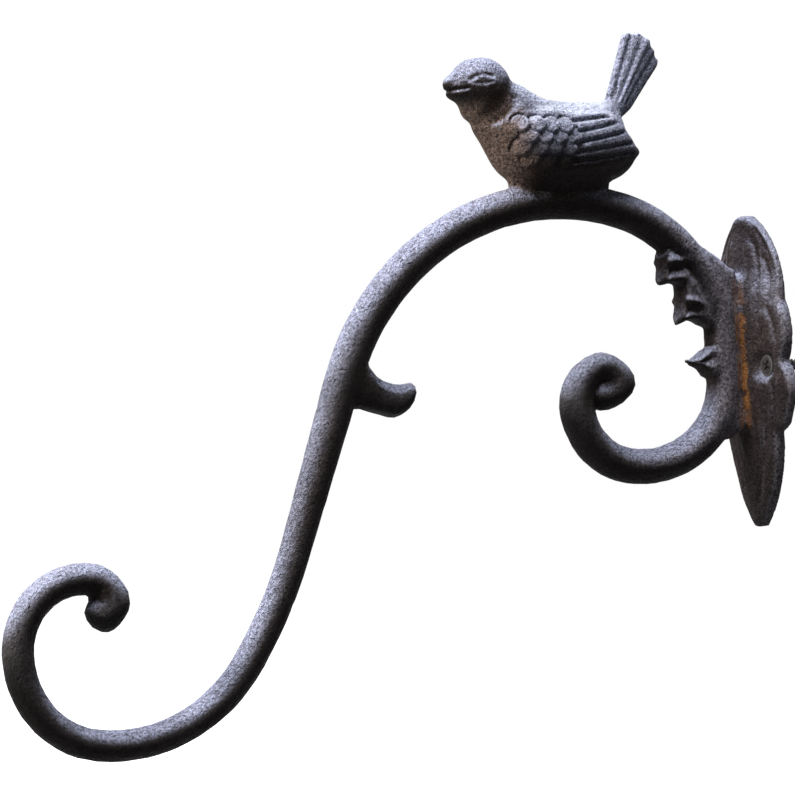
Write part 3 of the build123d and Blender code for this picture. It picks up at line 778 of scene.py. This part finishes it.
def screw_blank():
    """Screw without its recess: head with its edge broken, neck, core and a rolled thread that runs out."""
    rings = [
        (SCREW_TIP, POINT_R), (SCREW_TIP + POINT_LENGTH, CORE_R), (-NECK_STEP, CORE_R), (0.0, NECK_R),
        (SCREW_TOP - HEAD_R + NECK_R - HEAD_LAND, NECK_R), (SCREW_TOP - HEAD_LAND, HEAD_R),
        (SCREW_TOP - HEAD_CHAMFER_DEPTH, HEAD_R), (SCREW_TOP, HEAD_R - HEAD_CHAMFER),
    ]
    mesh = turned_profile(rings, SCREW_STEPS)
    turns = (THREAD_START - SCREW_TIP - THREAD_RUN_OUT) / THREAD_PITCH
    steps = int(turns * THREAD_STEPS)
    ribs = []
    for step in range(steps + 1):
        share = step / steps
        along = THREAD_START - share * turns * THREAD_PITCH
        angle = 2 * math.pi * turns * share
        core = CORE_R * min(1.0, (along - SCREW_TIP) / POINT_LENGTH)
        crest = core + (THREAD_R - CORE_R) * min(1.0, share * 30, (1 - share) * 12 + 0.05)
        rib = []
        root = core * 0.9
        for shift, radius in ((-THREAD_HALF_W, root), (0.0, crest), (THREAD_HALF_W, root)):
            rib.append(mesh.verts.new((along + shift, radius * math.cos(angle), radius * math.sin(angle))))
        ribs.append(rib)
    thread_faces = []
    for first, second in zip(ribs, ribs[1:]):
        for a, b in ((0, 1), (1, 2), (2, 0)):
            thread_faces.append(mesh.faces.new((first[a], first[b], second[b], second[a])))
    thread_faces.append(mesh.faces.new(ribs[0][::-1]))
    thread_faces.append(mesh.faces.new(ribs[-1]))
    bmesh.ops.recalc_face_normals(mesh, faces=thread_faces)
    done = bpy.data.meshes.new("screw_blank")
    mesh.to_mesh(done)
    mesh.free()
    return done


def cross_cutter():
    """Four-winged punch that leaves the cross recess, narrower at its bottom."""
    mesh = bmesh.new()
    for turn in (0, math.pi / 2):
        corners = []
        for past_top, reach, half in (RECESS_MOUTH, RECESS_FLOOR):
            along = SCREW_TOP + past_top + turn * 1e-5
            for a, b in ((-reach, -half), (reach, -half), (reach, half), (-reach, half)):
                across = a * math.cos(turn) - b * math.sin(turn)
                up = a * math.sin(turn) + b * math.cos(turn)
                corners.append(mesh.verts.new((along, across, up)))
        for face in ((0, 1, 2, 3), (7, 6, 5, 4), (0, 4, 5, 1), (1, 5, 6, 2), (2, 6, 7, 3), (3, 7, 4, 0)):
            mesh.faces.new([corners[k] for k in face])
    bmesh.ops.recalc_face_normals(mesh, faces=mesh.faces)
    done = bpy.data.meshes.new("cross_punch")
    mesh.to_mesh(done)
    mesh.free()
    return done


screw_pattern = bpy.data.objects.new("screw_pattern", screw_blank())
punch = bpy.data.objects.new("cross_punch", cross_cutter())
for helper in (screw_pattern, punch):
    bpy.context.scene.collection.objects.link(helper)
punched = screw_pattern.modifiers.new("recess", "BOOLEAN")
punched.operation = "DIFFERENCE"
punched.solver = "EXACT"
punched.use_self = True
punched.object = punch
plain_mesh(screw_pattern)
bpy.data.objects.remove(punch)

screw_steel, grain, shape = start_metal("blackened_steel", 2600.0, 0.3)
tree = screw_steel.node_tree
worn = between(tree, shape.outputs["Pointiness"], 0.51, 0.6)
steel = paint(tree, "blacking", (0.022, 0.019, 0.019), (0.05, 0.045, 0.044), grain.outputs["Mottle"])
steel = paint(tree, "bright edges", steel, (0.14, 0.13, 0.13), worn)
surface = finish_metal(tree, grain, steel, (0.42, 0.6), 0.5, 0.0002)
surface.inputs["Metallic"].default_value = 0.2
surface.inputs["Specular IOR Level"].default_value = 0.15


def screw_pair_tree():
    """Nodes that set a screw at each of two places across the plate, one turned further than the other."""
    group = bpy.data.node_groups.new("screw_pair", "GeometryNodeTree")
    group.interface.new_socket("Screw", in_out="INPUT", socket_type="NodeSocketObject")
    for name, default in (("Spacing", 0.032), ("Height", 0.0017), ("First Turn", 0.35), ("Turn", 0.7)):
        socket = group.interface.new_socket(name, in_out="INPUT", socket_type="NodeSocketFloat")
        socket.default_value = default
    group.interface.new_socket("Material", in_out="INPUT", socket_type="NodeSocketMaterial")
    group.interface.new_socket("Geometry", in_out="OUTPUT", socket_type="NodeSocketGeometry")
    add = group.nodes.new
    join = group.links.new
    given = add("NodeGroupInput")
    result = add("NodeGroupOutput")
    start = add("ShaderNodeCombineXYZ")
    join(sum_up(group, "MULTIPLY", given.outputs["Spacing"], -0.5), start.inputs["Y"])
    join(given.outputs["Height"], start.inputs["Z"])
    step = add("ShaderNodeCombineXYZ")
    join(given.outputs["Spacing"], step.inputs["Y"])
    places = add("GeometryNodeMeshLine")
    places.mode = "OFFSET"
    places.inputs["Count"].default_value = 2
    join(start.outputs[0], places.inputs["Start Location"])
    join(step.outputs[0], places.inputs["Offset"])
    number = add("GeometryNodeInputIndex")
    turn = add("ShaderNodeMath")
    turn.operation = "MULTIPLY_ADD"
    join(number.outputs[0], turn.inputs[0])
    join(given.outputs["Turn"], turn.inputs[1])
    join(given.outputs["First Turn"], turn.inputs[2])
    angle = add("ShaderNodeCombineXYZ")
    join(turn.outputs[0], angle.inputs["X"])
    master = add("GeometryNodeObjectInfo")
    join(given.outputs["Screw"], master.inputs["Object"])
    spread = add("GeometryNodeInstanceOnPoints")
    join(places.outputs["Mesh"], spread.inputs["Points"])
    join(master.outputs["Geometry"], spread.inputs["Instance"])
    join(angle.outputs[0], spread.inputs["Rotation"])
    real = add("GeometryNodeRealizeInstances")
    join(spread.outputs[0], real.inputs[0])
    finish = add("GeometryNodeSetMaterial")
    join(real.outputs[0], finish.inputs["Geometry"])
    join(given.outputs["Material"], finish.inputs["Material"])
    join(finish.outputs[0], result.inputs[0])
    return group


studs = next(mount for mount in frame["record"]["mounts"] if mount["name"] == "wall_studs")
screws = bpy.data.objects.new("plate_screws", bpy.data.meshes.new("plate_screws"))
bpy.context.scene.collection.objects.link(screws)
use_nodes(screws, screw_pair_tree(), {
    "Screw": screw_pattern,
    "Spacing": studs["dims"]["spacing_x_mm"] / 1000,
    "Height": studs["pos_m"][2],
    "Material": screw_steel,
})
bpy.data.objects.remove(screw_pattern)
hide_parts("wall_screws")
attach(screws, "root")


# Studio: a plain white floor well below the hook, and white all round. A wide soft lamp hangs above, a
# smaller one stands on the side that the bird faces and a faint one in front. The camera is the
# photograph's.

HOOK_MIDDLE = (0.15, 0, 0)
FLOOR_Z = -0.2
floor_middle = (HOOK_MIDDLE[0], HOOK_MIDDLE[1], FLOOR_Z)
floor_mesh = bmesh.new()
bmesh.ops.create_grid(floor_mesh, x_segments=1, y_segments=1, size=6)
bmesh.ops.translate(floor_mesh, verts=floor_mesh.verts, vec=floor_middle)
floor = bpy.data.objects.new("studio_floor", bpy.data.meshes.new("studio_floor"))
floor_mesh.to_mesh(floor.data)
floor_mesh.free()
bpy.context.scene.collection.objects.link(floor)


def seen_by_eye(tree):
    """1 where the camera looks, also by mirror or through something clear, and 0 for light on the hook."""
    path = tree.nodes.new("ShaderNodeLightPath")
    seen = sum_up(tree, "MAXIMUM", path.outputs["Is Camera Ray"], path.outputs["Is Glossy Ray"])
    return sum_up(tree, "MAXIMUM", seen, path.outputs["Is Transmission Ray"])


paper = bpy.data.materials.new("white_paper")
paper.use_nodes = True
tree = paper.node_tree
link = tree.links.new
tree.nodes.remove(tree.nodes["Principled BSDF"])
seen = seen_by_eye(tree)
matt = tree.nodes.new("ShaderNodeBsdfDiffuse")
link(paint(tree, "paleness", (0.12, 0.12, 0.12), (0.75, 0.75, 0.75), seen), matt.inputs["Color"])
floor_place = tree.nodes.new("ShaderNodeTexCoord")
from_hook = tree.nodes.new("ShaderNodeVectorMath")
from_hook.operation = "DISTANCE"
from_hook.inputs[1].default_value = floor_middle
link(floor_place.outputs["Object"], from_hook.inputs[0])
lit_ring = between(tree, from_hook.outputs["Value"], 0.35, 0.8, 0.4, 0.985)
lift = tree.nodes.new("ShaderNodeEmission")
link(sum_up(tree, "MULTIPLY", seen, lit_ring), lift.inputs["Strength"])
both = tree.nodes.new("ShaderNodeAddShader")
link(matt.outputs[0], both.inputs[0])
link(lift.outputs[0], both.inputs[1])
link(both.outputs[0], tree.nodes["Material Output"].inputs["Surface"])
floor.data.materials.append(paper)

world = bpy.data.worlds.new("white_room")
bpy.context.scene.world = world
world.use_nodes = True
tree = world.node_tree
link = tree.links.new
tree.nodes.clear()
output = tree.nodes.new("ShaderNodeOutputWorld")
white = tree.nodes.new("ShaderNodeBackground")
white.inputs["Color"].default_value = (1, 1, 1, 1)
white.inputs["Strength"].default_value = 1.0
dim = tree.nodes.new("ShaderNodeBackground")
dim.inputs["Color"].default_value = (0.9, 0.95, 1.0, 1)
dim.inputs["Strength"].default_value = 0.012
choose = tree.nodes.new("ShaderNodeMixShader")
link(seen_by_eye(tree), choose.inputs[0])
link(dim.outputs[0], choose.inputs[1])
link(white.outputs[0], choose.inputs[2])
link(choose.outputs[0], output.inputs["Surface"])


def soft_lamp(name, place, size, watts, colour):
    """Square soft lamp that faces the hook."""
    lamp = bpy.data.lights.new(name, "AREA")
    lamp.shape = "SQUARE"
    lamp.size = size
    lamp.energy = watts
    lamp.color = colour
    holder = bpy.data.objects.new(name, lamp)
    holder.location = place
    aim = Vector(HOOK_MIDDLE) - Vector(place)
    holder.rotation_euler = aim.to_track_quat("-Z", "Y").to_euler()
    bpy.context.scene.collection.objects.link(holder)


soft_lamp("top_lamp", (0.35, 0.03, 1.15), 1.1, 47, (0.93, 0.95, 1.0))
soft_lamp("side_lamp", (1.25, -0.05, 0.6), 0.4, 22, (1.0, 0.98, 0.96))
soft_lamp("front_lamp", (1.1, 0.9, 0.5), 0.6, 0.4, (1.0, 0.96, 0.92))

# The camera: width and focal length of the photograph in pixels, distance in metres, and how far it leans
PHOTO_WIDTH = 795
FOCAL_LENGTH = 3692
SENSOR_WIDTH = 36
CAMERA_DISTANCE = 1.3
ROLL = math.radians(3.3)
back = Vector((0.43837, 0.89879, 0)).normalized()
level_right = Vector((0, 0, 1)).cross(back).normalized()
right = level_right * math.cos(ROLL) - Vector((0, 0, 1)) * math.sin(ROLL)
up = back.cross(right)
look = Vector((0.148995, 0.00049, -0.00211))
eye = look + back * CAMERA_DISTANCE
lens = bpy.data.cameras.new("photo_camera")
lens.sensor_width = SENSOR_WIDTH
lens.lens = FOCAL_LENGTH * SENSOR_WIDTH / PHOTO_WIDTH
camera = bpy.data.objects.new("photo_camera", lens)
camera.matrix_world = Matrix((
    (right.x, up.x, back.x, eye.x),
    (right.y, up.y, back.y, eye.y),
    (right.z, up.z, back.z, eye.z),
    (0, 0, 0, 1),
))
bpy.context.scene.collection.objects.link(camera)
bpy.context.scene.camera = camera
bpy.context.scene.view_settings.view_transform = "Standard"
